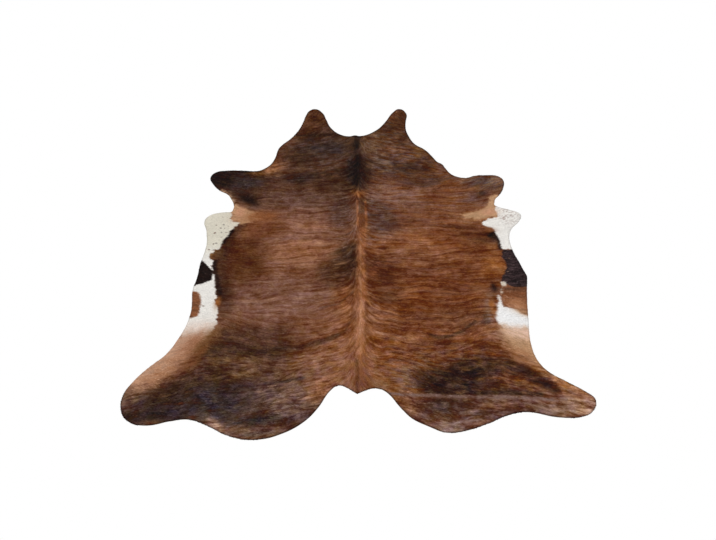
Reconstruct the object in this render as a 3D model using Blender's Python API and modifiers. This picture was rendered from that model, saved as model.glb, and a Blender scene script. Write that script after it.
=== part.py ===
"""A cowhide rug: one whole tanned hide with its hair on, lying flat on the ground.

Metres, +Z up. The neck points to +Y and the tail to -Y. The origin is under the middle of the hide, at
the level that it lies on. The hide is one sheet. Its edge is a closed curve through landmarks, and the
sheet lifts off the ground along a few old folds, where it was creased when it was packed.
"""
from collections import namedtuple
from math import cos, hypot, pi

import bmesh
import bpy

# ---- driving sizes ----------------------------------------------------------------------------------

MM = 0.001
LEATHER = 1.8 * MM              # tanned skin
NAP = 2.7 * MM                  # short hair, lying on it
THICKNESS = LEATHER + NAP

NECK_END = 1163 * MM            # furthest reach of the neck tips, and of the hind edge the other way
LEG_END = 1030 * MM             # furthest reach of each hind leg to its side

EDGE_STEPS = 5                  # straight runs between two landmarks of the edge
GRID_STEP = 105 * MM            # grid lines where the sheet is plain
FOLD_LINES = (-1.0, -0.5, 0.0, 0.5, 1.0)    # grid lines over a fold, in half widths from its ridge

HAIR_COLOUR = (0.118, 0.045, 0.022, 1.0)
HAIR_ROUGHNESS = 0.62

# ---- the edge, from the top of the left neck tip and on clockwise, in millimetres --------------------

Landmark = namedtuple("Landmark", "across along turn", defaults=("round",))

NECK = (
    Landmark(-296, 1163),       # left tip
    Landmark(-243, 1117),
    Landmark(-215, 1042),
    Landmark(-182, 953),
    Landmark(-118, 881),
    Landmark(-56, 861),
    Landmark(-22, 872),         # the mane stands out a little at the spine
    Landmark(8, 863),
    Landmark(106, 914),
    Landmark(176, 1008),
    Landmark(240, 1130),
    Landmark(281, 1163),        # right tip
)

RIGHT_SHOULDER = (
    Landmark(325, 1112),
    Landmark(317, 1020),
    Landmark(313, 935),
    Landmark(332, 848),
    Landmark(363, 778),
    Landmark(423, 723),
    Landmark(468, 645),
    Landmark(493, 600),
    Landmark(515, 586),
    Landmark(530, 552),
    Landmark(556, 500),
    Landmark(594, 468),
)

RIGHT_FORELEG = (
    Landmark(655, 457),
    Landmark(700, 475),
    Landmark(775, 481),
    Landmark(843, 474),
    Landmark(870, 437),
    Landmark(856, 362),
    Landmark(816, 295),
    Landmark(799, 278),
    Landmark(780, 222, "corner"),
)

RIGHT_BELLY = (
    Landmark(812, 203),
    Landmark(872, 181),
    Landmark(919, 148),
    Landmark(901, 94),
    Landmark(851, 39),
    Landmark(827, -15),
    Landmark(822, -85),
    Landmark(842, -200),
    Landmark(869, -300, "corner"),
    Landmark(847, -400),
    Landmark(821, -570),
    Landmark(806, -700),
    Landmark(818, -788),
    Landmark(850, -842),
)

RIGHT_HIND_LEG = (
    Landmark(930, -899),
    Landmark(1002, -949),
    Landmark(1030, -979),
    Landmark(1006, -1035),
    Landmark(950, -1062),
    Landmark(850, -1064),
    Landmark(722, -1040),
    Landmark(640, -1054),
    Landmark(540, -1094),
    Landmark(450, -1123),
    Landmark(365, -1131),
    Landmark(300, -1106),
    Landmark(228, -1069),
    Landmark(178, -1016),
    Landmark(125, -949),
    Landmark(80, -929),
    Landmark(34, -938),
)

TAIL = (
    Landmark(-6, -957, "corner"),
    Landmark(-45, -930),
    Landmark(-86, -915),
    Landmark(-122, -939),
)

LEFT_HIND_LEG = (
    Landmark(-172, -1019),
    Landmark(-212, -1067),
    Landmark(-300, -1128),
    Landmark(-435, -1163),
    Landmark(-545, -1144),
    Landmark(-634, -1103),
    Landmark(-718, -1074),
    Landmark(-800, -1082),
    Landmark(-892, -1101),
    Landmark(-976, -1082),
    Landmark(-1018, -1034),
    Landmark(-1030, -970),
    Landmark(-1006, -905),
    Landmark(-945, -822),
    Landmark(-886, -758),
    Landmark(-848, -676),
    Landmark(-824, -590),
)

LEFT_BELLY = (
    Landmark(-818, -510),
    Landmark(-836, -380),
    Landmark(-828, -315),
    Landmark(-829, -215),
    Landmark(-818, -100),
    Landmark(-838, 20),
    Landmark(-862, 98),
    Landmark(-838, 140),
    Landmark(-785, 160),
    Landmark(-719, 165, "corner"),
)

LEFT_FORELEG = (
    Landmark(-714, 210),
    Landmark(-737, 268),
    Landmark(-764, 310),
    Landmark(-816, 343),
    Landmark(-868, 404),
    Landmark(-892, 460),
    Landmark(-871, 504),
    Landmark(-810, 522),
    Landmark(-700, 523),
    Landmark(-604, 522),
    Landmark(-573, 543),
    Landmark(-541, 580),
)

LEFT_SHOULDER = (
    Landmark(-518, 650),
    Landmark(-512, 700),
    Landmark(-500, 748),
    Landmark(-434, 840),
    Landmark(-396, 915),
    Landmark(-368, 1010),
    Landmark(-350, 1102),
    Landmark(-332, 1144),
)

EDGE = (
    NECK + RIGHT_SHOULDER + RIGHT_FORELEG + RIGHT_BELLY + RIGHT_HIND_LEG
    + TAIL + LEFT_HIND_LEG + LEFT_BELLY + LEFT_FORELEG + LEFT_SHOULDER
)

# ---- old folds, in millimetres: a soft ridge from its start to its end -------------------------------

Fold = namedtuple("Fold", "name start_x start_y end_x end_y rise half_width")

FOLDS = (
    Fold("right hind crease", 150, -955, 1040, -975, 5.0, 30),
    Fold("left hind crease", -900, -960, -560, -950, 3.0, 34),
    Fold("rump crease", -620, -400, 560, -404, 1.6, 40),
    Fold("waist crease", -850, -8, 800, -30, 2.0, 40),
    Fold("right flank wave", 700, -215, 900, -205, 4.0, 60),
    Fold("left flank wave", -880, -120, -700, -135, 3.5, 55),
)


def outline_curve():
    """The edge of the hide as a filled flat curve, tall enough to cut the sheet out of a block."""
    data = bpy.data.curves.new("hide outline", "CURVE")
    data.dimensions = "2D"
    data.fill_mode = "BOTH"
    data.resolution_u = EDGE_STEPS
    data.render_resolution_u = 0
    data.extrude = 10 * THICKNESS
    spline = data.splines.new("BEZIER")
    spline.bezier_points.add(len(EDGE) - 1)
    for point, landmark in zip(spline.bezier_points, EDGE):
        point.co = (landmark.across * MM, landmark.along * MM, 0.0)
        handle = "VECTOR" if landmark.turn == "corner" else "AUTO"
        point.handle_left_type = handle
        point.handle_right_type = handle
    spline.use_cyclic_u = True
    curve = bpy.data.objects.new("hide outline", data)
    bpy.context.scene.collection.objects.link(curve)
    return curve


def made_mesh(curve, name):
    """A mesh object of the curve's shape, with its caps welded on. The curve is removed."""
    evaluated = curve.evaluated_get(bpy.context.evaluated_depsgraph_get())
    mesh = bpy.data.meshes.new_from_object(evaluated)
    mesh.name = name
    form = bmesh.new()
    form.from_mesh(mesh)
    bmesh.ops.remove_doubles(form, verts=form.verts, dist=0.05 * MM)
    bmesh.ops.recalc_face_normals(form, faces=form.faces)
    form.to_mesh(mesh)
    form.free()
    solid = bpy.data.objects.new(name, mesh)
    solid.matrix_world = curve.matrix_world
    bpy.data.objects.remove(curve)
    return solid


def lift(x, y):
    """Height of the underside over the ground at a place on the hide."""
    height = 0.0
    for fold in FOLDS:
        run_x = fold.end_x * MM - fold.start_x * MM
        run_y = fold.end_y * MM - fold.start_y * MM
        length = hypot(run_x, run_y)
        from_x = x - fold.start_x * MM
        from_y = y - fold.start_y * MM
        along = (from_x * run_x + from_y * run_y) / length
        across = abs(from_x * run_y - from_y * run_x) / length
        if across < fold.half_width * MM and 0.0 < along < length:
            ridge = 0.5 + 0.5 * cos(pi * across / (fold.half_width * MM))
            fade = min(1.0, along / (0.15 * length), (length - along) / (0.15 * length))
            height += fold.rise * MM * ridge * fade
    return height


def stations(reach, extra):
    """Grid lines from -reach to +reach: even ones, and the extra ones that the folds need."""
    count = round(2 * reach / GRID_STEP)
    lines = [reach * (2 * i / count - 1) for i in range(count + 1)]
    near = 0.15 * GRID_STEP
    lines = [line for line in lines if all(abs(line - other) > near for other in extra)]
    return sorted(lines + list(extra))


def sheet():
    """A wavy sheet, a little larger than the hide, with grid lines close together over the folds."""
    margin = 40 * MM
    rows = []
    for fold in FOLDS:
        middle = 0.5 * (fold.start_y + fold.end_y) * MM
        rows += [middle + line * fold.half_width * MM for line in FOLD_LINES]
    columns = stations(LEG_END + margin, ())
    rows = stations(NECK_END + margin, rows)
    form = bmesh.new()
    bmesh.ops.create_grid(form, x_segments=len(columns) - 1, y_segments=len(rows) - 1, size=1.0)
    for vert in form.verts:
        x = columns[round((vert.co.x + 1.0) / 2.0 * (len(columns) - 1))]
        y = rows[round((vert.co.y + 1.0) / 2.0 * (len(rows) - 1))]
        vert.co = (x, y, lift(x, y))
    mesh = bpy.data.meshes.new("hide")
    form.to_mesh(mesh)
    form.free()
    hide = bpy.data.objects.new("hide", mesh)
    thicken = hide.modifiers.new("leather and nap", "SOLIDIFY")
    thicken.thickness = THICKNESS
    thicken.offset = 1.0
    return hide


def hair_material():
    """Brown cowhair."""
    material = bpy.data.materials.new("brindle hair")
    material.use_nodes = True
    shader = material.node_tree.nodes["Principled BSDF"]
    shader.inputs["Base Color"].default_value = HAIR_COLOUR
    shader.inputs["Roughness"].default_value = HAIR_ROUGHNESS
    shader.inputs["Metallic"].default_value = 0.0
    return material


def build():
    """The hide: the sheet, cut to its outline."""
    for old in list(bpy.data.objects):
        bpy.data.objects.remove(old)
    parts = bpy.data.collections.new("cowhide rug")
    cutters = bpy.data.collections.new("cutters")
    bpy.context.scene.collection.children.link(parts)
    bpy.context.scene.collection.children.link(cutters)

    outline = made_mesh(outline_curve(), "outline block")
    outline.hide_render = True
    outline.display_type = "WIRE"
    cutters.objects.link(outline)

    hide = sheet()
    parts.objects.link(hide)
    trim = hide.modifiers.new("trim to the outline", "BOOLEAN")
    trim.operation = "INTERSECT"
    trim.solver = "EXACT"
    trim.object = outline
    hide.data.materials.append(hair_material())
    outline.data.materials.append(hide.data.materials[0])


build()
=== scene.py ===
from collections import namedtuple
from math import hypot, pi, radians

import bmesh
import bpy
import numpy as np
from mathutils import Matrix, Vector
from mathutils.geometry import delaunay_2d_cdt


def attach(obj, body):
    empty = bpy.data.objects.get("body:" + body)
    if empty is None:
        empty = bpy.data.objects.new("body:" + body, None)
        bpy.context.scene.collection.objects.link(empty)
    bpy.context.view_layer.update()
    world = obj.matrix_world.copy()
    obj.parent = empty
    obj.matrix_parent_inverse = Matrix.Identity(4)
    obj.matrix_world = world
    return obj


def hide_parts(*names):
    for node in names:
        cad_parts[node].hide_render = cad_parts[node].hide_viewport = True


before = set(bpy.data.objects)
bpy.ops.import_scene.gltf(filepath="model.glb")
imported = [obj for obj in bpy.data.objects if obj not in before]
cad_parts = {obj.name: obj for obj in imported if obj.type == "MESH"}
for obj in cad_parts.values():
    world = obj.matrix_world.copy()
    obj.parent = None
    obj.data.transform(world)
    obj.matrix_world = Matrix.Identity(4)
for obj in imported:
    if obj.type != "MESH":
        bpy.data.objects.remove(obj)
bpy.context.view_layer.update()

MM = 0.001

# ====================================================================
# The camera. It stands behind the hind edge, a little over head height, and looks down at 51 degrees, so
# that the hide narrows towards the neck.
# ====================================================================

CAMERA_PLACE = (-2 * MM, -2014 * MM, 2170 * MM)
CAMERA_TILT = radians(39)   # from straight down
CAMERA_LENS = 27            # millimetres, with the frame below
CAMERA_FRAME = 36

bpy.ops.object.camera_add(location=CAMERA_PLACE, rotation=(CAMERA_TILT, 0, 0))
camera = bpy.context.object
camera.data.lens = CAMERA_LENS
camera.data.sensor_width = CAMERA_FRAME
bpy.context.scene.camera = camera
bpy.ops.object.select_all(action="DESELECT")

# ====================================================================
# The skin. It is one tanned cowhide, split to an even thickness, with its natural outline trimmed by
# knife. It lies on the floor on its flesh side, which is buffed to a pale suede, and lifts at old folds.
# ====================================================================

# ---- the lie of the hair -------------------------------------------
# Which way it points, in degrees, at places of the right half, in millimetres. The left half mirrors it.
# Hair runs from the neck to the tail along the spine, turns away from it within a hand's breadth, and
# lies level across the neck and the ribs.

Comb = namedtuple("Comb", "across along heading")
COMB = [Comb(*row) for row in (
    (290, 1080, -60), (240, 930, -34), (120, 800, -20), (300, 760, -16), (160, 600, -8),
    (340, 640, -12), (420, 540, -8), (200, 420, -6), (400, 420, -4), (200, 200, -4),
    (400, 200, -2), (200, 0, -4), (400, 0, 0), (200, -200, -6), (400, -200, 0), (160, -400, -10),
    (280, -420, 8), (420, -400, -4), (160, -560, -14), (280, -580, 4), (420, -560, -4),
    (180, -720, -15), (400, -680, 4), (480, -640, 18), (560, -580, 22), (600, -450, 8),
    (600, 200, 0), (600, 0, 0), (620, -200, 4), (700, -350, 8), (800, -450, 0), (800, 0, -4),
    (780, 180, 8), (560, 400, 8), (700, 400, 18), (830, 420, 26), (170, -860, -17),
    (300, -860, -14), (450, -830, 4), (620, -800, 2), (760, -840, -20), (880, -930, -18),
    (980, -990, -8), (780, -690, -40), (650, -900, -8), (450, -990, -6), (350, -1090, -14),
    (700, -1000, -6),
)]
Parting = namedtuple("Parting", "along wide")       # how far out the spine still turns the hair
PARTINGS = [Parting(*row) for row in (
    (-950, 56), (-800, 58), (-650, 60), (-500, 64), (-300, 55), (0, 50), (200, 45), (500, 50),
    (950, 60),
)]
GRID_REACH = 1250 * MM      # half the side of the square that each grid here covers
LAY_STEP = 10 * MM          # between points of the grid that keeps the lie
COMB_BLUR = 50 * MM         # a row of the comb rules alone this far round itself
PARTING_FALL = 1.3          # power by which the hair turns away from the spine
COWLICK = 0.34              # radians that the lie wanders by
GRAIN_CELLS = 512

grain = np.random.default_rng(7).random((GRAIN_CELLS, GRAIN_CELLS))


def mottle(x, y, size, layer):
    """Smooth random patches of about this size, from 0 to 1. Each layer has patches of its own."""
    u, v = x / size, y / size
    column, row = np.floor(u).astype(int), np.floor(v).astype(int)
    u, v = u - column, v - row
    u, v = u * u * (3 - 2 * u), v * v * (3 - 2 * v)
    left, low = (column + 57 * layer) % GRAIN_CELLS, (row + 131 * layer) % GRAIN_CELLS
    right, high = (left + 1) % GRAIN_CELLS, (low + 1) % GRAIN_CELLS
    return ((grain[left, low] * (1 - u) + grain[right, low] * u) * (1 - v)
            + (grain[left, high] * (1 - u) + grain[right, high] * u) * v)


def clouds(x, y, size, layer):
    """Patches with smaller patches in them, from about -1 to 1."""
    total = 0.0
    for finer, share in enumerate((1.1, 0.6, 0.35)):
        total = total + share * (mottle(x, y, size / 2 ** finer, layer + finer) - 0.5)
    return total


def read_grid(grid, step, x, y):
    """A grid's values at these places, read between its points."""
    last = len(grid) - 1.001
    u = np.clip((x + GRID_REACH) / step, 0, last)
    v = np.clip((y + GRID_REACH) / step, 0, last)
    i, j = u.astype(int), v.astype(int)
    u, v = u - i, v - j
    return ((grid[i, j] * (1 - u) + grid[i + 1, j] * u) * (1 - v)
            + (grid[i, j + 1] * (1 - u) + grid[i + 1, j + 1] * u) * v)


def lie_of_hair():
    """The hair's heading on a grid, as its cosine and sine."""
    reach = np.arange(-GRID_REACH, GRID_REACH, LAY_STEP)
    x, y = np.meshgrid(reach, reach, indexing="ij")
    across = np.abs(x)
    heading, total = 0.0, 0.0
    for comb in COMB:
        apart = (across - comb.across * MM) ** 2 + (y - comb.along * MM) ** 2
        pull = 1 / (apart + COMB_BLUR ** 2) ** 2
        heading, total = heading + pull * comb.heading, total + pull
    heading = heading / total
    wide = np.interp(y / MM, [row.along for row in PARTINGS], [row.wide for row in PARTINGS])
    parted = np.exp(-(across / (wide * MM)) ** PARTING_FALL)
    heading = np.radians(heading + (-90 - heading) * parted)
    heading = np.where(x < 0, np.pi - heading, heading)
    heading += COWLICK * (clouds(x, y, 110 * MM, 71) + clouds(x, y, 46 * MM, 77))
    return np.cos(heading), np.sin(heading)


lie_cosine, lie_sine = lie_of_hair()


def lie_at(x, y):
    """The hair's heading at these places, as a cosine and a sine."""
    return read_grid(lie_cosine, LAY_STEP, x, y), read_grid(lie_sine, LAY_STEP, x, y)


def streaks(x, y, width, length, layer, steps):
    """Streaks of this size along the lie of the hair, about 1 either way."""
    total = mottle(x, y, width, layer)
    for way in (1, -1):
        at_x, at_y = x, y
        for _ in range(steps):
            cosine, sine = lie_at(at_x, at_y)
            at_x = at_x + way * cosine * 0.5 * length / steps
            at_y = at_y + way * sine * 0.5 * length / steps
            total = total + mottle(at_x, at_y, width, layer)
    return (total - total.mean()) / total.std()


# ---- the coat's colours, in sRGB, 0 to 255 -------------------------

COLOURS = {
    "rust": (118, 74, 50), "rosewood": (126, 89, 74), "chestnut": (106, 60, 35),
    "mahogany": (70, 34, 18), "orange": (132, 80, 48), "bark": (78, 51, 37), "umber": (56, 37, 27),
    "plum": (68, 50, 43), "ink": (31, 21, 18), "slate": (46, 40, 40), "hazel": (100, 70, 49),
    "ash": (106, 82, 70), "tan": (154, 106, 74), "sand": (176, 138, 104), "blush": (186, 148, 124),
    "cream": (214, 208, 195), "snow": (221, 218, 213), "frost": (225, 225, 225),
    "cinnamon": (78, 45, 24), "heather": (88, 64, 56), "ochre": (104, 70, 38), "soot": (52, 43, 45),
    "coal": (46, 36, 37), "fawn": (154, 106, 79), "amber": (146, 90, 46), "mauve": (122, 97, 90),
    "peach": (188, 138, 110), "petal": (218, 186, 168), "oyster": (206, 200, 183),
    "apricot": (178, 124, 92), "copper": (150, 96, 64),
}

# ---- the coat's stains and strokes ---------------------------------
# A stain is an oval patch in millimetres, turned by degrees, whose edge is torn by the coat's own
# mottling. Later rows lie over earlier ones. A stroke follows a line through points.

Stain = namedtuple("Stain", "across along wide high colour strength turn", defaults=(0,))
NECK_STAINS = (
    (0, 850, 430, 230, "hazel", 0.9),
    (-250, 740, 200, 160, "plum", 0.95),
    (-200, 740, 120, 60, "soot", 0.75),
    (-433, 812, 45, 45, "rust", 0.5, 40),
    (-505, 590, 80, 70, "rust", 1.0),
    (-305, 1040, 70, 120, "cinnamon", 1.0),
    (-215, 930, 70, 60, "bark", 0.8),
    (-235, 876, 160, 16, "umber", 0.95, 2),
    (-240, 570, 120, 56, "ash", 0.8),
    (280, 1060, 50, 110, "cinnamon", 0.95),
    (190, 940, 90, 40, "bark", 0.8, 25),
    (340, 860, 70, 100, "bark", 1.0),
    (350, 650, 60, 50, "bark", 0.5),
    (230, 700, 110, 70, "rosewood", 0.6),
    (400, 690, 90, 30, "ochre", 0.65, -45),
    (420, 630, 60, 50, "bark", 0.6, -30),
    (508, 558, 40, 30, "rosewood", 0.9, -50),
    (-370, 635, 90, 60, "umber", 0.85),
)
SHOULDER_STAINS = (
    (-200, 420, 260, 110, "bark", 0.95),
    (-170, 455, 120, 56, "umber", 0.9),
    (-360, 450, 100, 46, "slate", 0.75),
    (-340, 262, 290, 90, "heather", 0.9),
    (-120, 370, 120, 80, "cinnamon", 1.0),
    (-110, 375, 110, 60, "umber", 0.75),
    (300, 550, 150, 70, "bark", 0.95, -4),
    (290, 530, 110, 46, "umber", 0.8, 10),
    (150, 590, 100, 90, "ash", 0.75),
    (110, 450, 55, 45, "rust", 0.6),
    (450, 350, 130, 80, "chestnut", 0.95),
    (210, 310, 150, 90, "rosewood", 1.0, -6),
    (190, 350, 120, 40, "fawn", 0.4),
    (410, 436, 120, 60, "bark", 1.0),
    (-560, 425, 120, 90, "bark", 0.95),
    (-700, 425, 110, 75, "soot", 1.0),
    (-840, 450, 100, 90, "ink", 1.0),
    (-770, 524, 160, 40, "ink", 0.95),
    (-610, 500, 60, 26, "ochre", 0.8),
    (-515, 545, 60, 36, "tan", 0.9, 34),
    (-640, 275, 100, 44, "ink", 0.85, -36),
    (-580, 245, 90, 50, "bark", 0.7),
    (600, 320, 110, 80, "rust", 0.7),
    (745, 420, 110, 70, "plum", 0.7, 8),
    (680, 270, 80, 40, "heather", 0.5),
    (726, 318, 24, 20, "umber", 0.7),
    (840, 380, 70, 60, "ash", 0.6, 10),
    (650, 440, 70, 40, "ash", 0.5),
    (640, 120, 110, 40, "tan", 0.8),
)
BACK_STAINS = (
    (-330, 80, 300, 180, "rosewood", 0.7),
    (-420, -440, 260, 150, "rosewood", 1.0),
    (-560, 30, 130, 60, "chestnut", 0.7),
    (-280, -130, 190, 80, "fawn", 0.95),
    (-250, 50, 90, 36, "fawn", 0.5),
    (-590, -210, 110, 130, "cinnamon", 0.8),
    (-690, -200, 40, 200, "mahogany", 0.6),
    (-765, -162, 34, 30, "ochre", 0.95),
    (-640, -80, 80, 40, "cinnamon", 0.6),
    (-660, -440, 50, 120, "bark", 0.8),
    (380, -70, 320, 90, "orange", 0.8),
    (680, -210, 90, 90, "amber", 0.7),
    (585, -130, 120, 50, "chestnut", 1.0),
    (655, -45, 70, 36, "cinnamon", 0.7),
    (664, -540, 20, 80, "fawn", 0.75),
    (420, -420, 260, 170, "chestnut", 0.85),
    (490, -560, 130, 60, "cinnamon", 0.4),
    (165, -560, 80, 70, "chestnut", 0.85),
    (-100, 190, 64, 150, "heather", 0.8),
    (-60, -225, 56, 90, "umber", 1.0),
    (-50, -235, 36, 70, "ink", 0.4),
    (-110, -310, 60, 50, "plum", 0.45),
    (-50, -160, 50, 90, "umber", 0.6),
    (-70, -120, 70, 14, "umber", 0.8, 25),
    (-120, -290, 80, 100, "bark", 0.8),
    (-56, -450, 56, 90, "copper", 0.8),
    (60, -650, 60, 110, "tan", 0.6),
    (-90, -600, 50, 60, "fawn", 0.5),
    (120, 120, 80, 130, "heather", 0.8),
    (230, -50, 120, 40, "fawn", 0.4),
    (110, -270, 90, 80, "mahogany", 0.8),
    (280, -440, 76, 50, "orange", 0.5),
    (140, -430, 60, 50, "cinnamon", 0.5),
    (577, 45, 90, 14, "mahogany", 0.8, -6),
    (590, -180, 70, 16, "chestnut", 0.8, -20),
    (650, -10, 110, 14, "mahogany", 0.9, 2),
    (738, -28, 24, 26, "ink", 0.8),
    (687, -379, 16, 24, "ink", 0.8),
    (619, -571, 24, 26, "ink", 0.6),
)
RUMP_STAINS = (
    (0, -760, 190, 120, "orange", 0.85),
    (-70, -840, 230, 120, "fawn", 0.9),
    (10, -850, 110, 70, "orange", 0.6),
    (140, -935, 110, 60, "tan", 0.9),
    (-490, -650, 160, 50, "bark", 0.9),
    (-450, -740, 140, 56, "umber", 0.95),
    (-650, -745, 90, 66, "umber", 0.95, 20),
    (-525, -790, 80, 18, "ochre", 0.8),
    (-640, -970, 360, 105, "plum", 1.0, 4),
    (-700, -1000, 280, 70, "soot", 0.9, 2),
    (-640, -865, 130, 54, "umber", 0.75, 12),
    (-640, -1050, 70, 36, "soot", 0.5),
    (-510, -850, 120, 50, "hazel", 0.8),
    (-840, -965, 100, 46, "umber", 0.8, 25),
    (-1010, -980, 70, 50, "ash", 0.9),
    (-920, -1066, 120, 26, "ink", 0.6, 6),
    (-280, -1030, 160, 110, "heather", 0.95),
    (-322, -966, 30, 24, "fawn", 0.7),
    (-370, -945, 80, 50, "heather", 1.0),
    (-350, -880, 90, 80, "bark", 0.5),
    (-150, -935, 90, 60, "fawn", 0.9, 30),
    (-450, -1080, 110, 24, "slate", 0.6),
    (-592, -1102, 56, 18, "blush", 0.7, -33),
    (-430, -1135, 150, 16, "ash", 0.9),
    (430, -640, 220, 50, "chestnut", 0.7),
    (350, -705, 100, 30, "mahogany", 0.5),
    (210, -912, 50, 24, "tan", 0.7, -10),
    (600, -880, 200, 70, "cinnamon", 0.95),
    (400, -890, 170, 64, "umber", 1.0),
    (540, -842, 90, 40, "ink", 0.75, 4),
    (670, -890, 90, 24, "orange", 0.6, -12),
    (430, -925, 130, 22, "ink", 0.5),
    (560, -1030, 400, 50, "heather", 0.85),
    (359, -1006, 110, 26, "plum", 0.7, 4),
    (620, -1015, 120, 20, "chestnut", 0.5),
    (200, -1000, 56, 36, "rust", 0.6, -40),
    (385, -1108, 100, 30, "mauve", 0.7),
    (960, -1025, 110, 56, "fawn", 0.95),
    (950, -1030, 140, 50, "mauve", 0.6),
    (995, -1010, 70, 50, "blush", 0.8),
    (900, -876, 130, 34, "tan", 1.0, -36),
)
SPINE_STAINS = (
    (0, 500, 80, 120, "umber", 0.95),
    (-110, 510, 80, 50, "umber", 0.7),
    (55, 600, 50, 50, "umber", 0.7),
    (-30, 780, 40, 90, "umber", 0.7),
    (-30, 560, 30, 110, "slate", 0.6),
    (20, 490, 40, 110, "ink", 0.55),
    (14, 325, 38, 30, "amber", 0.75),
    (10, 262, 26, 18, "mahogany", 0.6),
    (72, 250, 26, 30, "ash", 0.7),
)
STAINS = [Stain(*row) for row in (
    NECK_STAINS + SHOULDER_STAINS + BACK_STAINS + RUMP_STAINS + SPINE_STAINS)]

Stroke = namedtuple("Stroke", "colour half_width strength points")
STROKES = [Stroke(*row) for row in (
    ("ink", 18, 0.85, ((-10, 880), (-6, 760), (0, 640), (-4, 540), (-14, 410))),
    ("umber", 14, 0.55, (
        (-635, -640), (-590, -700), (-420, -744), (-272, -722), (-160, -685), (-100, -655))),
    ("slate", 7, 0.5, ((-410, -905), (-320, -896), (-240, -880))),
    ("hazel", 5, 0.6, ((-110, -660), (-56, -625), (-40, -580))),
    ("umber", 8, 0.6, ((340, -655), (374, -670), (433, -663), (490, -633), (560, -580))),
    ("umber", 24, 0.9, (
        (420, -850), (490, -815), (600, -796), (700, -812), (774, -863), (860, -930))),
    # painted shade: a dark line on the neck side of the right hind crease's ridge
    ("umber", 12, 0.95, ((300, -944), (430, -950), (520, -953), (620, -954), (790, -960))),
    # painted highlight: a pale line that carries the right hind crease's lit ridge on to the edge
    ("blush", 6, 0.5, ((860, -982), (1000, -990))),
    ("hazel", 20, 0.7, ((19, 260), (20, 170))),
    ("chestnut", 20, 0.7, ((20, 140), (20, 40))),
    ("copper", 21, 1.0, ((20, 20), (15, -190), (16, -324), (19, -440))),
    ("copper", 20, 0.6, ((12, -600), (8, -740), (4, -800))),
    ("apricot", 15, 0.9, ((18, -460), (13, -570), (11, -683), (6, -740))),
    ("apricot", 13, 0.35, ((16, -160), (17, -360))),
    ("sand", 4, 0.3, ((12, -30), (10, -330), (14, -450), (8, -600), (8, -740))),
    ("cinnamon", 8, 0.5, ((-8, -790), (-5, -860), (-5, -950))),
    ("copper", 6, 0.8, ((-5, 260), (-4, 60))),
    ("copper", 6, 0.8, ((40, 250), (42, 60))),
    ("chestnut", 7, 0.45, ((-26, -400), (-28, -500), (-26, -630))),
    ("ash", 4, 0.7, ((-25, 25), (-60, -10), (-115, -38))),
    ("ash", 4, 0.7, ((-30, -70), (-64, -95), (-120, -120))),
    ("ash", 4, 0.6, ((-30, -110), (-64, -165), (-130, -190))),
    ("tan", 5, 0.4, ((37, -440), (60, -480), (110, -512), (203, -535), (277, -512))),
    ("tan", 5, 0.5, ((37, -550), (92, -640), (180, -665), (277, -672))),
    ("ash", 5, 0.5, ((-28, -400), (-92, -475), (-184, -498))),
    # painted highlight: a paler line along the waist crease, where light catches its ridge
    ("rosewood", 7, 0.5, ((-520, -38), (-200, -43), (-20, -43), (240, -45))),
    ("umber", 34, 0.6, (
        (-650, 60), (-690, 0), (-712, -60), (-722, -120), (-722, -200), (-722, -280), (-698, -351),
        (-680, -420))),
    ("bark", 13, 0.5, ((-650, 72), (-668, 40))),
    ("ink", 11, 0.8, ((-690, 22), (-704, -10), (-722, -42), (-730, -70))),
    ("ink", 13, 0.8, (
        (-750, -205), (-752, -245), (-738, -280), (-718, -325), (-706, -373), (-692, -415))),
    ("ink", 11, 0.9, ((712, -20), (733, -4), (752, 4), (757, -30), (761, -66), (759, -108))),
    ("ash", 18, 0.55, ((660, -430), (638, -500), (630, -565))),
)]

# painted highlight: a pale mauve line along the ridge of the right hind crease, where light catches the
# fold
CREASE_HIGHLIGHT = Stroke("mauve", 7, 0.8, ((131, -953), (240, -964), (420, -970), (711, -976), (900, -985)))

# ---- the markings, each a patch with these corners in millimetres --

LEFT_WHITE = (
    (-900, 210), (-745, 205), (-722, 160), (-707, 146), (-718, 116), (-702, 92), (-662, 80), (-674, 54),
    (-693, 36), (-707, 14), (-710, -20), (-722, -38), (-738, -46), (-738, -83), (-742, -116),
    (-764, -127), (-782, -152), (-778, -186), (-760, -201), (-761, -242), (-752, -276), (-733, -323),
    (-720, -370), (-708, -415), (-700, -434), (-710, -450), (-705, -474), (-690, -500), (-684, -520),
    (-688, -548), (-676, -580), (-682, -620), (-706, -662), (-900, -675),
)
LEFT_PALE_LEG = (
    (-900, -634), (-690, -640), (-700, -664), (-745, -696), (-790, -780), (-828, -833), (-880, -893),
    (-960, -930), (-1060, -930), (-1100, -800),
)
LEFT_ARMPIT = (
    (-800, 342), (-754, 314), (-722, 262), (-712, 232), (-695, 222), (-659, 196), (-619, 183),
    (-579, 165), (-551, 140), (-547, 105), (-595, 88), (-640, 62), (-669, 79), (-702, 92),
    (-718, 116), (-707, 146), (-722, 160), (-745, 205), (-760, 262),
)
RIGHT_ARMPIT = (
    (805, 315), (762, 285), (745, 235), (712, 190), (640, 168), (580, 142), (600, 118), (684, 98),
    (732, 122), (782, 118), (800, 150), (790, 215), (830, 290),
)
RIGHT_WHITE_FORE = (
    (788, 235), (788, 207), (774, 184), (787, 144), (780, 122), (705, 105), (680, 79), (700, 51),
    (737, 44), (752, 23), (757, -17), (767, -50), (763, -90), (768, -118), (830, -118), (1000, -100),
    (1000, 260),
)
RIGHT_WHITE_HIND = (
    (698, -421), (692, -465), (681, -483), (673, -520), (664, -558), (668, -590), (716, -650),
    (900, -650), (900, -548), (821, -540), (796, -532), (775, -506), (740, -496),
    (712, -490), (708, -425),
)
RIGHT_PALE_LEG = (
    (672, -606), (900, -622), (900, -870), (860, -850), (800, -810), (745, -770), (700, -720),
    (668, -660),
)
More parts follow.
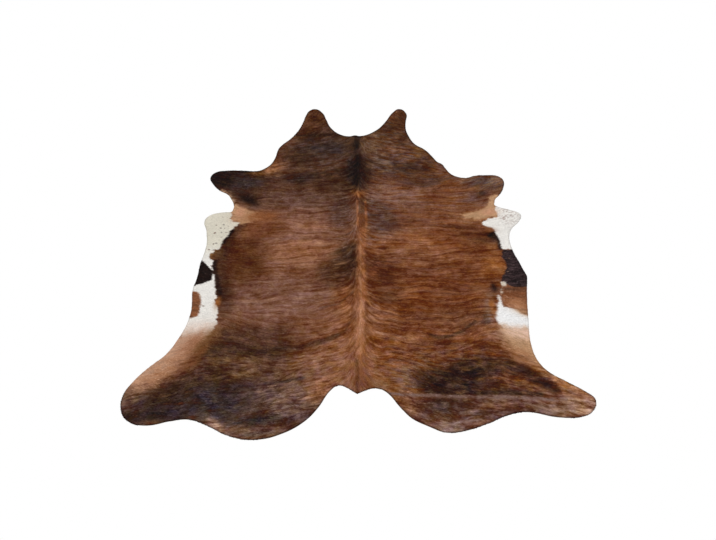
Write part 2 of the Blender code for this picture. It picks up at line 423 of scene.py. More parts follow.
BLACK_TRIANGLE = (
    (-870, -180), (-815, -196), (-783, -236), (-752, -268), (-747, -325), (-784, -346), (-823, -360),
    (-870, -366),
)
BROWN_SPOT = (
    (-870, -388), (-823, -395), (-797, -411), (-782, -438), (-777, -479), (-776, -519), (-780, -545),
    (-801, -553), (-870, -556),
)
BLACK_PATCH = (
    (768, -118), (755, -167), (771, -212), (770, -243), (748, -286), (728, -325), (746, -350),
    (779, -370), (814, -372), (860, -370), (900, -368), (900, -118),
)
BROWN_PATCH = (
    (728, -366), (743, -350), (779, -372), (814, -373), (900, -370), (900, -548), (821, -543),
    (796, -531), (775, -505), (740, -495), (714, -486), (709, -470), (709, -417),
)
Spot = namedtuple("Spot", "across along reach colour")
SPOTS = [Spot(*row) for row in (
    (735, -351, 16, "cream"), (724, -340, 7, "cream"), (718, -404, 9, "cream"),
    (716, -386, 4, "cream"), (793, -183, 5, "ash"), (812, -230, 3, "ash"), (770, -270, 4, "ash"),
    (835, -170, 3, "ash"), (-762, -487, 5, "hazel"), (-787, 62, 4, "ash"), (-750, 7, 4, "soot"),
    (-720, 53, 4, "heather"), (-762, 123, 4, "ash"), (-747, 66, 4, "soot"),
    (-726, 7, 3, "heather"), (-717, 114, 3, "heather"), (-781, -79, 4, "heather"),
    (-798, -123, 3, "ash"), (-767, -75, 4, "soot"), (-772, -128, 3, "heather"),
    (-786, 3, 3, "ash"), (-735, 36, 3, "ash"), (-760, 40, 3, "heather"), (-745, -30, 3, "ash"),
)]
# what lies within the markings, over them
MARKING_STAINS = [Stain(*row) for row in (
    (722, 29, 24, 13, "rust", 0.85, -16),
    (666, -488, 12, 36, "amber", 0.8),
    (782, -384, 60, 13, "bark", 0.7),
    (762, -416, 44, 14, "chestnut", 0.6),
    (780, -470, 50, 16, "tan", 0.8, -20),
    (792, -492, 30, 12, "peach", 0.6, -20),
    (-680, 160, 26, 40, "peach", 0.8),
    (-756, 256, 24, 40, "cream", 0.5),
    (-545, 130, 90, 44, "orange", 0.85),
    (-635, 260, 60, 24, "ink", 0.8, -34),
    (745, 160, 40, 26, "peach", 0.7),
    (810, -520, 50, 20, "sand", 0.8, -20),
    (800, -470, 40, 24, "tan", 0.7, -20),
    (-770, -610, 100, 26, "petal", 0.35),
    (-694, -466, 11, 30, "amber", 0.8),
    (-764, -166, 9, 9, "cinnamon", 0.8),
    (-780, -710, 80, 34, "fawn", 0.8, 48),
    (-705, -696, 80, 36, "ochre", 0.75, 56),
    (-762, -800, 110, 24, "chestnut", 0.5, 52),
    (-900, -860, 120, 50, "tan", 0.6, 40),
    (780, -650, 90, 30, "petal", 0.8, -8),
    (740, -770, 70, 40, "tan", 0.6, -30),
)]
SPECKLES = Stain(845, 140, 60, 60, "mauve", 0.55)

# ---- the coat ------------------------------------------------------
# How far each kind of streak or patch lightens and darkens it, of 255.

BANDS_ON_RIBS, BANDS_ELSEWHERE = 7.5, 5
STRANDS, STRANDS_IF_ROUGH = 6, 1.5          # the second is added where the coat is rough or mottled
HAIRS, HAIRS_IF_ROUGH = 4, 1
DAUBS_OFF_RIBS = 4.5
DAPPLE, DAPPLE_IF_MOTTLED = 12, 6
BLOTCHES, BLOTCHES_IF_MOTTLED = 16, 6
DULLING, STREAK_DULLING = 3, 6              # taken off all over, and off the palest streaks
DEEPEST = 120                               # at most this times its green is taken off a colour
WARMTH = np.array((1.6, 0.2, -1.6)) / 255   # what a warm streak adds, and a cold one takes off
TINT = np.array((0.5, 2.5, -8)) / 255
BROWNER = np.array((0.25, -0.1, -0.35))     # pale streaks in dark hair are brown, not grey
RIM_SHADE, MARKED_RIM_SHADE = 0.46, 0.10    # painted shade: how much darker the hair is made along the cut edge, and in the markings


def soft(value, none, full):
    """0 up to none, 1 from full on, and a smooth rise between them, whichever way they lie."""
    share = np.clip((value - none) / (full - none), 0, 1)
    return share * share * (3 - 2 * share)


def line_gap(x, y, points):
    """Distance from these places to a line through points."""
    near = np.full(x.shape, np.inf)
    for (from_x, from_y), (to_x, to_y) in zip(points, points[1:]):
        run_x, run_y = to_x - from_x, to_y - from_y
        share = ((x - from_x) * run_x + (y - from_y) * run_y) / (run_x ** 2 + run_y ** 2)
        share = np.clip(share, 0, 1)
        gap = (x - from_x - share * run_x) ** 2 + (y - from_y - share * run_y) ** 2
        near = np.minimum(near, gap)
    return np.sqrt(near)


def edge_depth(x, y, corners):
    """How deep these places lie inside a ring of corners in metres, or less than 0 outside it."""
    inside = np.zeros(x.shape, bool)
    for (from_x, from_y), (to_x, to_y) in zip(corners, corners[1:] + corners[:1]):
        if from_y != to_y:
            between = (from_y > y) != (to_y > y)
            inside ^= between & (x < from_x + (y - from_y) * (to_x - from_x) / (to_y - from_y))
    near = line_gap(x, y, corners + corners[:1])
    return np.where(inside, near, -near)


def in_metres(points):
    return [(x * MM, y * MM) for x, y in points]


def coat_at(x, y, rim):
    """The coat's sRGB colour, 0 to 1, at these places. rim is how deep they lie inside the cut edge."""
    colour = np.empty(x.shape + (3,))
    colour[:] = np.array(COLOURS["rust"]) / 255

    def lay(name, share, shade=0.0):
        share = np.clip(share, 0, 1)[..., None]
        over = np.array(COLOURS[name]) / 255 * np.exp(np.array(shade))[..., None]
        colour[:] = colour * (1 - share) + over * share

    # what the stains' edges are torn by, and the streaks, from the widest to the finest
    torn_x = x + 34 * MM * clouds(x, y, 130 * MM, 11) + 10 * MM * clouds(x, y, 30 * MM, 12)
    torn_y = y + 26 * MM * clouds(x, y, 130 * MM, 21) + 8 * MM * clouds(x, y, 30 * MM, 22)
    blotches = clouds(x, y, 70 * MM, 27)
    dapple = clouds(x, y, 22 * MM, 29)
    ribs = soft(y, -0.80, -0.60) * soft(y, 0.50, 0.30)
    reach = (60 + 120 * ribs * soft(np.abs(x), 0.06, 0.24)) * MM
    daubs = streaks(x, y, 17 * MM, 55 * MM, 91, 5)
    bands = streaks(x, y, 11 * MM, reach, 31, 10)
    strands = streaks(x, y, 5.5 * MM, 0.5 * reach, 41, 8)
    hairs = streaks(x, y, 2.8 * MM, 22 * MM, 51, 4)

    def stained(stain):
        turn, tear = np.radians(stain.turn), min(1, stain.high / 60)
        from_x = x + tear * (torn_x - x) - stain.across * MM
        from_y = y + tear * (torn_y - y) - stain.along * MM
        u = (from_x * np.cos(turn) + from_y * np.sin(turn)) / (stain.wide * MM)
        v = (from_y * np.cos(turn) - from_x * np.sin(turn)) / (stain.high * MM)
        share = stain.strength / (1 + (u * u + v * v) ** 2)
        lay(stain.colour, share * (1 + 0.14 * bands + 0.1 * strands + 0.35 * dapple))

    def stroked(stroke):
        tear = min(0.25, stroke.half_width / 80)
        gap = line_gap(x + tear * (torn_x - x), y + tear * (torn_y - y), in_metres(stroke.points))
        share = stroke.strength * np.exp(-0.7 * (gap / (stroke.half_width * MM)) ** 3)
        lay(stroke.colour, share * (1 + 0.12 * bands + 0.1 * strands + 0.3 * dapple))

    for stain in STAINS:
        stained(stain)
    for stroke in STROKES:
        stroked(stroke)

    # the brindle: long level streaks on the ribs, shorter ones and patches on the neck, rump and legs
    rough = soft(y, -0.50, -0.80)
    mottled = np.maximum(rough, soft(y, 0.42, 0.60))
    tone = (BANDS_ON_RIBS * ribs + BANDS_ELSEWHERE * (1 - ribs)) * bands
    tone += (STRANDS + STRANDS_IF_ROUGH * rough) * strands + (HAIRS + HAIRS_IF_ROUGH * rough) * hairs
    tone += DAUBS_OFF_RIBS * (1 - ribs) * daubs + (DAPPLE + DAPPLE_IF_MOTTLED * mottled) * dapple
    tone += (BLOTCHES + BLOTCHES_IF_MOTTLED * mottled) * blotches

    # it is bolder on the right ribs and calmer at the tail, on the left hind leg and by the spine
    right_ribs = soft(x, -0.05, 0.15) * ribs * soft(y, 0.1, -0.3)
    left_hind = soft(x, -0.35, -0.5) * soft(y, -0.84, -0.94)
    pale_spine = np.exp(-((x - 16 * MM) / (24 * MM)) ** 4) * soft(y, 0.25, 0.15)
    tail_head = np.exp(-((x + 20 * MM) / (220 * MM)) ** 2 - ((y + 820 * MM) / (110 * MM)) ** 2)
    by_spine = np.exp(-(x / (110 * MM)) ** 2) * soft(y, -0.30, -0.45)
    tone *= (1.12 + 0.16 * rough) * (1 + 0.35 * right_ribs) * (1 - 0.35 * left_hind)
    tone *= (1 - 0.65 * pale_spine) * (1 - 0.35 * tail_head) * (1 - 0.25 * by_spine)
    tone -= DULLING + STREAK_DULLING * soft(bands + 0.7 * strands, 1.0, 2.4)
    dark = 1 - soft(colour[..., 1], 0.14, 0.28)
    tone *= 1 - 0.15 * dark
    tone = np.maximum(tone, -DEEPEST * colour[..., 1])

    redder = 1.4 * soft(x, 0, 0.2) * soft(y, -0.98, -0.92)
    warm = streaks(x, y, 9 * MM, 0.6 * reach, 67, 6)
    colour += WARMTH * (warm * (1 + redder) * (1 - 0.4 * dark))[..., None]
    colour += TINT * (clouds(x, y, 26 * MM, 103) * (0.7 + 0.5 * rough))[..., None]
    colour += tone[..., None] * (1 + BROWNER * (dark * soft(tone, 0, 12))[..., None]) / 255
    # the painted highlight along the right hind crease
    stroked(CREASE_HIGHLIGHT)

    # the white flanks, the pale leg tops and what lies in them
    jag = 7 * MM * clouds(x, y, 24 * MM, 61) + 6 * MM * clouds(x, y, 9 * MM, 64) + 1.5 * MM * strands
    marked = np.zeros(x.shape)

    def patch(corners, name, blur, ragged, shade):
        depth = edge_depth(x, y, in_metres(corners)) + ragged * jag
        share = soft(depth, -blur * MM, blur * MM)
        np.maximum(marked, share, out=marked)
        lay(name, share, shade * (0.6 * strands + 0.5 * hairs + dapple))
        return share

    patch(LEFT_ARMPIT, "sand", 14, 1.5, 0.05)
    patch(RIGHT_ARMPIT, "sand", 12, 1.5, 0.05)
    white = patch(LEFT_WHITE, "snow", 3, 1.0, 0.012)
    lay("oyster", 0.8 * white * soft(y, -0.20, -0.06))
    patch(RIGHT_WHITE_FORE, "snow", 3, 1.0, 0.012)
    patch(RIGHT_WHITE_HIND, "frost", 9, 1.0, 0.0)
    patch(LEFT_PALE_LEG, "blush", 38, 2.0, 0.05)
    patch(RIGHT_PALE_LEG, "sand", 34, 2.0, 0.05)
    patch(BLACK_PATCH, "coal", 4, 1.0, 0.3)
    brown = patch(BROWN_PATCH, "rust", 5, 1.0, 0.12)
    lay("blush", 0.6 * brown * soft(mottle(x, y, 8 * MM, 83), 0.55, 0.8) * soft(x, 0.81, 0.73))
    patch(BLACK_TRIANGLE, "ink", 3, 0.5, 0.1)
    patch(BROWN_SPOT, "rust", 6, 0.7, 0.12)
    for spot in SPOTS:
        gap = np.hypot(x - spot.across * MM, y - spot.along * MM) + 0.4 * jag
        lay(spot.colour, 0.85 * soft(gap, 1.3 * spot.reach * MM, 0.7 * spot.reach * MM))
    from_x, from_y = x - SPECKLES.across * MM, y - SPECKLES.along * MM
    near = (from_x / (SPECKLES.wide * MM)) ** 2 + (from_y / (SPECKLES.high * MM)) ** 2
    flecks = soft(mottle(x, y, 5 * MM, 81) + 0.5 * mottle(x, y, 2.5 * MM, 82), 0.88, 1.05)
    lay(SPECKLES.colour, SPECKLES.strength * flecks / (1 + near ** 2))
    for stain in MARKING_STAINS:
        stained(stain)

    # painted shade: the hair is darkened along the cut edge, but hardly so in the markings
    rim_shade = RIM_SHADE + (MARKED_RIM_SHADE - RIM_SHADE) * marked
    rim_reach = (8 + 5 * soft(y, 0.2, 0.6)) * MM
    colour *= (1 - rim_shade * soft(rim / rim_reach, 1, 0.1))[..., None]
    return np.clip(colour, 0, 1)


# ---- the skin's shape ----------------------------------------------

SKIN = 1.8 * MM             # tanned skin at the cut edge
UNDERCOAT = 3.1 * MM        # skin and the dense roots of the hair, away from the edge
NAP_RISE = 9 * MM           # how far in from the edge the undercoat reaches its height
HEAVE = 0.5 * MM            # low unevenness of the upper side
WELD = 0.02 * MM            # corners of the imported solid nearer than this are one
UNDERSIDE = -0.5            # a face whose normal points lower than this belongs to the underside
KNIFE_WANDER = 0.9 * MM     # the knife strays this far from its line
EDGE_STEP = 5 * MM          # between points of the cut edge
DEPTH_STEP = 5 * MM         # between points of the grid that keeps the depth inside it
TOP_STEP = 9 * MM           # between points of the upper side
UNDER_STEP = 26 * MM        # between points of the flesh side
ROW_HEIGHT = 0.866          # of that step: the height of a triangle of equal sides
SAME_POINT = 1e-7           # metres between points that the triangles take for one
FOLD_FADE = 0.15            # share of a fold's length over which it rises at either end

Fold = namedtuple("Fold", "start_x start_y end_x end_y rise half_width")
FOLDS = (
    Fold(150, -955, 1040, -975, 5.0, 30),       # the right hind crease
    Fold(-900, -960, -560, -950, 3.0, 34),      # the left hind crease
    Fold(-620, -400, 560, -404, 1.6, 40),       # the rump crease
    Fold(-850, -8, 800, -30, 2.0, 40),          # the waist crease
    Fold(700, -215, 900, -205, 4.0, 60),        # the wave in the right flank
    Fold(-880, -120, -700, -135, 3.5, 55),      # the wave in the left flank
)


def lift_at(x, y):
    """Height of the flesh side over the floor at these places: it rises in a ridge along each fold."""
    height = np.zeros_like(x)
    for fold in FOLDS:
        run_x, run_y = (fold.end_x - fold.start_x) * MM, (fold.end_y - fold.start_y) * MM
        length = hypot(run_x, run_y)
        from_x, from_y = x - fold.start_x * MM, y - fold.start_y * MM
        along = (from_x * run_x + from_y * run_y) / length
        across = np.abs(from_x * run_y - from_y * run_x) / length
        ridge = 0.5 + 0.5 * np.cos(pi * np.minimum(across / (fold.half_width * MM), 1))
        fade = np.clip(np.minimum(along, length - along) / (FOLD_FADE * length), 0, 1)
        height += fold.rise * MM * ridge * fade
    return height


def solid_rim():
    """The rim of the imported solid's underside, as one loop of (x, y), against the clock from above."""
    form = bmesh.new()
    form.from_mesh(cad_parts["hide"].data)
    bmesh.ops.remove_doubles(form, verts=form.verts, dist=WELD)
    follows = {}
    for face in form.faces:
        if face.normal.z < UNDERSIDE:
            for loop in face.loops:
                if any(other.normal.z > UNDERSIDE for other in loop.edge.link_faces):
                    follows[loop.vert] = loop.link_loop_next.vert
    start = at = next(iter(follows))
    rim = [tuple(at.co.xy)]
    while follows[at] is not start:
        at = follows[at]
        rim.append(tuple(at.co.xy))
    form.free()
    return np.array(rim[::-1])


def trimmed(rim):
    """The rim in even steps, a little rounded and wandering as a knife cuts."""
    closed = np.vstack([rim, rim[:1]])
    run = np.concatenate([[0], np.cumsum(np.hypot(*np.diff(closed, axis=0).T))])
    places = np.linspace(0, run[-1], round(run[-1] / EDGE_STEP), endpoint=False)
    edge = np.stack([np.interp(places, run, closed[:, axis]) for axis in (0, 1)], axis=1)
    for _ in range(2):
        edge = 0.5 * edge + 0.25 * (np.roll(edge, 1, axis=0) + np.roll(edge, -1, axis=0))
    outwards = np.roll(edge, -1, axis=0) - np.roll(edge, 1, axis=0)
    outwards = np.stack([outwards[:, 1], -outwards[:, 0]], axis=1)
    outwards /= np.hypot(*outwards.T)[:, None]
    x, y = edge.T
    stray = clouds(x, y, 60 * MM, 91) + 0.5 * clouds(x, y, 14 * MM, 95)
    return edge + KNIFE_WANDER * stray[:, None] * outwards


cut_edge = trimmed(solid_rim())
depth_reach = np.arange(-GRID_REACH, GRID_REACH, DEPTH_STEP)
depth_places = np.meshgrid(depth_reach, depth_reach, indexing="ij")
depth_grid = edge_depth(*depth_places, [tuple(point) for point in cut_edge])


def depth_at(x, y):
    """How deep these places lie inside the cut edge, or less than 0 outside it."""
    return read_grid(depth_grid, DEPTH_STEP, x, y)


def top_at(x, y, depth):
    """Height of the skin's upper side, which rounds down to the bare skin at the cut edge."""
    rise = np.sin(0.5 * pi * np.clip(depth / NAP_RISE, 0, 1))
    uneven = HEAVE * clouds(x, y, 90 * MM, 97) * rise
    return lift_at(x, y) + SKIN + (UNDERCOAT - SKIN) * rise + uneven


def filled(step, margin):
    """Points inside the cut edge, in rows set off like bricks, and the triangles between them and it."""
    columns = np.arange(-GRID_REACH, GRID_REACH, step)
    rows = np.arange(-GRID_REACH, GRID_REACH, step * ROW_HEIGHT)
    x, y = np.meshgrid(columns, rows)
    x[1::2] += 0.5 * step
    x, y = x.ravel(), y.ravel()
    inner = depth_at(x, y) > margin
    ring = [Vector(point) for point in cut_edge]
    points = ring + [Vector(point) for point in zip(x[inner], y[inner])]
    found = delaunay_2d_cdt(points, [], [list(range(len(ring)))], 0, SAME_POINT, True)
    inside = [tuple(face) for face, within in zip(found[2], found[5]) if within]
    return np.array([tuple(point) for point in found[0]]), inside, found[3]


def sheet_mesh(name):
    """The skin as one closed sheet, and how many of its faces, the first ones, are its upper side."""
    upper, upper_faces, upper_from = filled(TOP_STEP, 0.55 * TOP_STEP)
    under, under_faces, under_from = filled(UNDER_STEP, 0.5 * UNDER_STEP)
    count, below = len(cut_edge), len(upper)
    at_edge = {source[0]: i for i, source in enumerate(upper_from) if source and source[0] < count}
    under_edge = {source[0]: below + i for i, source in enumerate(under_from)
                  if source and source[0] < count}
    depth = depth_at(*upper.T)
    depth[list(at_edge.values())] = 0.0
    points = [(x, y, z) for (x, y), z in zip(upper, top_at(*upper.T, depth))]
    points += [(x, y, z) for (x, y), z in zip(under, lift_at(*under.T))]
    faces = list(upper_faces)
    faces += [tuple(below + i for i in reversed(face)) for face in under_faces]
    for i in range(count):
        after = (i + 1) % count
        faces.append((at_edge[i], under_edge[i], under_edge[after], at_edge[after]))
    mesh = bpy.data.meshes.new(name)
    mesh.from_pydata(points, [], faces)
    form = bmesh.new()
    form.from_mesh(mesh)
    bmesh.ops.recalc_face_normals(form, faces=form.faces)
    form.to_mesh(mesh)
    form.free()
    return mesh, len(upper_faces)


# ---- the skin's looks ----------------------------------------------

COAT_GAIN = 1.06            # makes up for the light that is lost between locks
GLOSS = 0.006               # linear light that the gloss adds to the coat
DARKEST, PALEST = 0.001, 0.9  # that a coat's linear colour may be


def base_colour(coat):
    """The linear colour that a material needs for the coat to look like this sRGB colour."""
    coat = np.clip(coat, 0, 1)
    light = np.where(coat <= 0.04045, coat / 12.92, ((coat + 0.055) / 1.055) ** 2.4)
    return np.clip(COAT_GAIN * (light - GLOSS), DARKEST, PALEST)


def paint(mesh, colour):
    """Keeps a linear colour at each point of a mesh, in the attribute that the coat's materials read."""
    layer = mesh.color_attributes.new("coat", "FLOAT_COLOR", "POINT")
    rgba = np.ones((len(mesh.vertices), 4), np.float32)
    rgba[:, :3] = colour
    layer.data.foreach_set("color", rgba.ravel())


def node(material, kind, inputs=(), **settings):
    """A new shader node. inputs are pairs of a socket's name and its value."""
    made = material.node_tree.nodes.new("ShaderNode" + kind)
    for name, value in settings.items():
        setattr(made, name, value)
    for name, value in inputs:
        made.inputs[name].default_value = value
    return made


def ranged(material, least, most, inputs=()):
    """A node that spreads a value over this range."""
    return node(material, "MapRange", (("To Min", least), ("To Max", most), *inputs))


def link(material, source, output, target, socket):
    material.node_tree.links.new(source.outputs[output], target.inputs[socket])


def new_material(name, roughness, gloss):
    material = bpy.data.materials.new(name)
    material.use_nodes = True
    shader = material.node_tree.nodes["Principled BSDF"]
    shader.inputs["Roughness"].default_value = roughness
    shader.inputs["Specular IOR Level"].default_value = gloss
    return material


def cover(material, colour, shade, relief, strength, depth):
    """Gives a material a colour scaled by a shade, and a relief. All three are a node and its output."""
    shader = material.node_tree.nodes["Principled BSDF"]
    shaded = node(material, "VectorMath", operation="SCALE")
    bump = node(material, "Bump", (("Strength", strength), ("Distance", depth)))
    link(material, *colour, shaded, 0)
    link(material, *shade, shaded, "Scale")
    link(material, shaded, "Vector", shader, "Base Color")
    link(material, *relief, bump, "Height")
    link(material, bump, "Normal", shader, "Normal")


def undercoat_material():
    """The dense short hair at the skin, seen between the locks: darkened there as painted shade, and
    dull.
    """
    material = new_material("undercoat", 0.8, 0.1)
    coat_colour = node(material, "Attribute", attribute_name="coat")
    place = node(material, "TexCoord")
    fuzz = node(material, "TexNoise", (("Scale", 420), ("Detail", 3)))
    # painted shade, partly random: the coat's colour is dimmed to between 0.62 and 1.0 of itself between
    # the locks
    tone = ranged(material, 0.62, 1.0)
    link(material, place, "Object", fuzz, "Vector")
    link(material, fuzz, "Fac", tone, "Value")
    cover(material, (coat_colour, "Color"), (tone, "Result"), (fuzz, "Fac"), 0.6, 0.6 * MM)
    return material


def suede_material():
    """The flesh side and the cut edge: pale grey-brown suede with loose fibres."""
    material = new_material("suede", 0.92, 0.15)
    place = node(material, "TexCoord")
    cloudy = node(material, "TexNoise", (("Scale", 9), ("Detail", 6)))
    fibres = node(material, "TexNoise", (("Scale", 700), ("Detail", 4)))
    tints = node(material, "ValToRGB")
    browner, paler = tints.color_ramp.elements
    browner.position, browner.color = 0.3, (0.27, 0.2, 0.145, 1)
    paler.position, paler.color = 0.72, (0.42, 0.335, 0.255, 1)
    tone = ranged(material, 0.7, 1.15)
    link(material, place, "Object", cloudy, "Vector")
    link(material, place, "Object", fibres, "Vector")
    link(material, cloudy, "Fac", tints, "Fac")
    link(material, fibres, "Fac", tone, "Value")
    cover(material, (tints, "Color"), (tone, "Result"), (fibres, "Fac"), 0.5, 0.4 * MM)
    return material


skin_mesh, top_faces = sheet_mesh("skin")
skin = bpy.data.objects.new("skin", skin_mesh)
bpy.context.scene.collection.objects.link(skin)
places = np.empty(len(skin_mesh.vertices) * 3)
skin_mesh.vertices.foreach_get("co", places)
place_x, place_y = places.reshape(-1, 3)[:, :2].T
paint(skin_mesh, base_colour(coat_at(place_x, place_y, depth_at(place_x, place_y))))
skin_mesh.materials.append(undercoat_material())
skin_mesh.materials.append(suede_material())
for number, face in enumerate(skin_mesh.polygons):
    face.material_index = 0 if number < top_faces else 1
    face.use_smooth = True
bpy.context.view_layer.objects.active = skin
skin.select_set(True)
bpy.ops.object.shade_smooth_by_angle(angle=radians(50))
skin.select_set(False)
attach(skin, "root")
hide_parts("hide")

# ====================================================================
# The hair. Short, coarse and glossy, it lies flat the way that it grew. Each lock here is a small bundle
# of hairs, ridged along its middle, rooted in the skin and tapering to its tip.
# ====================================================================

ROOT_STEP = 3.2 * MM        # between roots
ROOT_INSET = 1.2 * MM       # of the outermost roots from the cut edge
ROOT_DEPTH = 0.4 * MM       # of a lock's root in the undercoat
LOCK_LENGTH = 15 * MM
LOCK_WIDTH = 3.3 * MM
SPREAD = 0.25               # share that a lock's length and width differ by, either way
SHORTEST = 0.3              # least share of its length that is left of a lock trimmed at the cut edge
MANE_LENGTH = 24 * MM       # of the locks along the spine of the neck
MANE_REACH = 34 * MM        # from the spine
MANE_START, MANE_FULL = 240 * MM, 400 * MM      # along the neck
STRAY = radians(7)          # of a lock from the lie of the hair
TUFT_STRAY = radians(12)    # of neighbours together
TUFT_SIZE = 14 * MM
TIP_LIFT = 1.9 * MM         # of a lock's tip over the undercoat
LEAST_LIFT = 0.35           # share of that for the flattest
OVERHANG = 1.5 * MM         # past the cut edge, near which tips are cut
EDGE_DROP = 1.0 * MM        # of the tips that reach so far
EDGE_PRESS = 0.8            # share of their lift that those lose
MIDDLE = 0.45               # share of its length where a lock is widest
RIDGE_RISE = 0.35 * MM      # of its ridge there
SIDE_DROP = 0.45 * MM       # of its sides below its ridge
SIDE_SHIFT = 0.25           # share of its width that its sides lie out of the middle, either way
LEAN = 0.3 * MM             # of one side over the other
LOCK_SHADE = 0.026          # of sRGB, that a lock differs from its neighbours by
PALE_LOCK, PALE_SHARE = 0.07, 0.05  # how much paler the odd lock is, and how many are
DARK_LOCK, DARK_SHARE = -0.06, 0.07

Strip = namedtuple("Strip", "name from_x to_x")
STRIPS = (
    Strip("hair.left_flank", -1200, -440), Strip("hair.left_back", -440, -150),
    Strip("hair.spine", -150, 150), Strip("hair.right_back", 150, 440),
    Strip("hair.right_flank", 440, 1200),
)


def roots():
    """Where the locks are rooted: a square grid, each root strayed within its own square."""
    draw = np.random.default_rng(31)
    reach = np.arange(-GRID_REACH, GRID_REACH, ROOT_STEP)
    x, y = np.meshgrid(reach, reach)
    x = (x + ROOT_STEP * draw.uniform(-0.5, 0.5, x.shape)).ravel()
    y = (y + ROOT_STEP * draw.uniform(-0.5, 0.5, y.shape)).ravel()
    inner = depth_at(x, y) > ROOT_INSET
    return x[inner], y[inner]


# which way each lock points, and how long and wide it is
root_x, root_y = roots()
count = len(root_x)
draw = np.random.default_rng(47)
heading_x, heading_y = lie_at(root_x, root_y)
turn = STRAY * draw.standard_normal(count) + TUFT_STRAY * clouds(root_x, root_y, TUFT_SIZE, 101)
way_x = heading_x * np.cos(turn) - heading_y * np.sin(turn)
way_y = heading_x * np.sin(turn) + heading_y * np.cos(turn)
mane = np.exp(-(root_x / MANE_REACH) ** 2) * soft(root_y, MANE_START, MANE_FULL)
length = LOCK_LENGTH + (MANE_LENGTH - LOCK_LENGTH) * mane
length *= draw.uniform(1 - SPREAD, 1 + SPREAD, count)
width = LOCK_WIDTH * draw.uniform(1 - SPREAD, 1 + SPREAD, count)

# those that would reach too far past the cut edge are trimmed
root_depth = depth_at(root_x, root_y)
tip_depth = depth_at(root_x + length * way_x, root_y + length * way_y)
trim = np.clip((root_depth + OVERHANG) / np.maximum(root_depth - tip_depth, 1e-6), SHORTEST, 1)
length = np.where(tip_depth < -OVERHANG, length * trim, length)
tip_x, tip_y = root_x + length * way_x, root_y + length * way_y
tip_depth = depth_at(tip_x, tip_y)

# the four corners of each: its root, its right side, its tip and its left side
root_z = top_at(root_x, root_y, root_depth) - ROOT_DEPTH
past = np.clip(-tip_depth / OVERHANG, 0, 1)
lift = TIP_LIFT * draw.uniform(LEAST_LIFT, 1.0, count) * (1 - EDGE_PRESS * past)
tip_z = top_at(tip_x, tip_y, tip_depth) + lift - EDGE_DROP * past
side = draw.uniform(-SIDE_SHIFT, SIDE_SHIFT, count) * width
to_right, to_left = 0.5 * width + side, 0.5 * width - side
middle_x, middle_y = root_x + MIDDLE * (tip_x - root_x), root_y + MIDDLE * (tip_y - root_y)
middle_z = root_z + MIDDLE * (tip_z - root_z) + RIDGE_RISE - SIDE_DROP
lean = LEAN * draw.uniform(-1, 1, count)
right = np.stack([middle_x + to_right * way_y, middle_y - to_right * way_x, middle_z + lean], 1)
left = np.stack([middle_x - to_left * way_y, middle_y + to_left * way_x, middle_z - lean], 1)
root = np.stack([root_x, root_y, root_z], 1)
tip = np.stack([tip_x, tip_y, tip_z], 1)
corners = np.stack([root, right, tip, left], 1)

# each has the coat's colour at its middle, a little lighter or darker, but less so where it is white
shade = LOCK_SHADE * draw.standard_normal(count)
shade += np.where(draw.random(count) < PALE_SHARE, PALE_LOCK, 0)
shade += np.where(draw.random(count) < DARK_SHARE, DARK_LOCK, 0)
lock_coat = coat_at(middle_x, middle_y, depth_at(middle_x, middle_y))
lock_coat += (shade * (1 - 0.7 * soft(lock_coat[:, 1], 0.5, 0.75)))[:, None]
lock_colour = base_colour(lock_coat)


def hair_material():
    """Glossy cowhair: a lock has its coat's colour, is darkened towards its root as painted shade, and
    is lined with hairs.
    """
    material = new_material("hair", 0.42, 0.14)
    coat_colour = node(material, "Attribute", attribute_name="coat")
    strand = node(material, "UVMap", uv_map="strand")
    stretch = node(material, "Mapping", (("Scale", (9, 0.8, 1)),))
    lines = node(material, "TexNoise", (("Scale", 1), ("Detail", 2)), noise_dimensions="2D")
    split = node(material, "SeparateXYZ")
    # painted shade: each lock is darkened towards its root, under its neighbours, and made a little
    # lighter at its tip
    rooted = ranged(material, 0.72, 1.06, (("From Min", 0.0), ("From Max", 0.7)))
    lined = ranged(material, 0.82, 1.18, (("From Min", 0.3), ("From Max", 0.7)))
    both = node(material, "Math", operation="MULTIPLY")
    link(material, strand, "UV", stretch, "Vector")
    link(material, stretch, "Vector", lines, "Vector")
    link(material, strand, "UV", split, "Vector")
    link(material, split, "Y", rooted, "Value")
    link(material, lines, "Fac", lined, "Value")
    link(material, rooted, "Result", both, 0)
    link(material, lined, "Result", both, 1)
    cover(material, (coat_colour, "Color"), (both, "Value"), (lines, "Fac"), 0.5, 0.25 * MM)
    return material


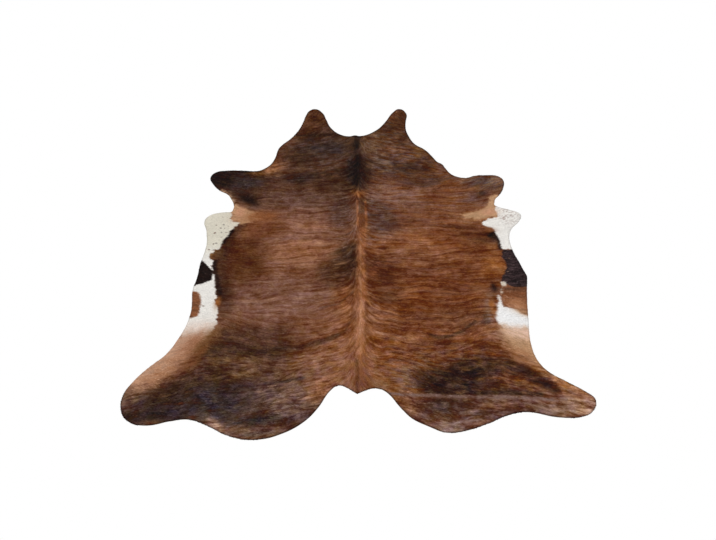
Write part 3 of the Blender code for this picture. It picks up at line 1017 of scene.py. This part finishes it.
def locks(strip, chosen, material):
    """The locks of one strip of the hide, joined in one mesh of two triangles each."""
    number = int(chosen.sum())
    triangles = np.array([0, 1, 2, 0, 2, 3])
    mesh = bpy.data.meshes.new(strip.name)
    mesh.vertices.add(4 * number)
    mesh.vertices.foreach_set("co", corners[chosen].ravel())
    mesh.loops.add(6 * number)
    mesh.loops.foreach_set("vertex_index", (4 * np.arange(number)[:, None] + triangles).ravel())
    mesh.polygons.add(2 * number)
    mesh.polygons.foreach_set("loop_start", 3 * np.arange(2 * number))
    mesh.polygons.foreach_set("use_smooth", np.ones(2 * number, bool))

    # one layout lines each lock with hairs of its own, the other gives it a cell to itself for baking
    strand = mesh.uv_layers.new(name="strand")
    shift = draw.random((number, 1, 2)) * (50, 0)
    along = np.array([(0.5, 0.0), (1.0, MIDDLE), (0.5, 1.0), (0.0, MIDDLE)])
    strand.uv.foreach_set("vector", (along + shift)[:, triangles].ravel())
    cells = mesh.uv_layers.new(name="OFBake")
    across = int(np.ceil(np.sqrt(number)))
    cell = np.stack([np.arange(number) % across, np.arange(number) // across], 1)[:, None]
    inside = np.array([(0.06, 0.06), (0.94, 0.06), (0.94, 0.94), (0.06, 0.94)])
    cells.uv.foreach_set("vector", ((cell + inside) / across)[:, triangles].ravel())

    paint(mesh, np.repeat(lock_colour[chosen], 4, axis=0))
    mesh.materials.append(material)
    mesh.update()
    mesh.validate()
    hair = bpy.data.objects.new(strip.name, mesh)
    bpy.context.scene.collection.objects.link(hair)
    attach(hair, "root")
    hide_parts("hide")


hair_finish = hair_material()
for strip in STRIPS:
    locks(strip, (root_x >= strip.from_x * MM) & (root_x < strip.to_x * MM), hair_finish)

# ====================================================================
# The floor and the light. A plain white ground that keeps no shadow, and one wide soft source behind
# the camera with a little light from all round.
# ====================================================================

FLOOR_SIZE = 40             # metres, past the view from above
SKY_STRENGTH = 0.3
SUN_STRENGTH = 2.95
SUN_SPREAD = radians(70)    # wide, so that shadows are soft
SUN_TILT, SUN_TURN = radians(30), radians(-20)      # from straight overhead, towards the hind edge
WHITE, BLACK = (1, 1, 1, 1), (0, 0, 0, 1)

bpy.ops.mesh.primitive_plane_add(size=FLOOR_SIZE)
floor = bpy.context.object
floor.name = "floor"
floor_finish = new_material("white floor", 0.5, 0)
floor_shader = floor_finish.node_tree.nodes["Principled BSDF"]
floor_shader.inputs["Base Color"].default_value = BLACK
floor_shader.inputs["Emission Color"].default_value = WHITE
floor_shader.inputs["Emission Strength"].default_value = 1
floor.data.materials.append(floor_finish)

sky = bpy.data.worlds.new("daylight")
bpy.context.scene.world = sky
sky.use_nodes = True
sky.node_tree.nodes["Background"].inputs["Color"].default_value = WHITE
sky.node_tree.nodes["Background"].inputs["Strength"].default_value = SKY_STRENGTH

bpy.ops.object.light_add(type="SUN", rotation=(SUN_TILT, 0, SUN_TURN))
sun = bpy.context.object
sun.name = "window light"
sun.data.energy = SUN_STRENGTH
sun.data.angle = SUN_SPREAD

bpy.context.scene.view_settings.view_transform = "Standard"
bpy.context.scene.view_settings.look = "None"
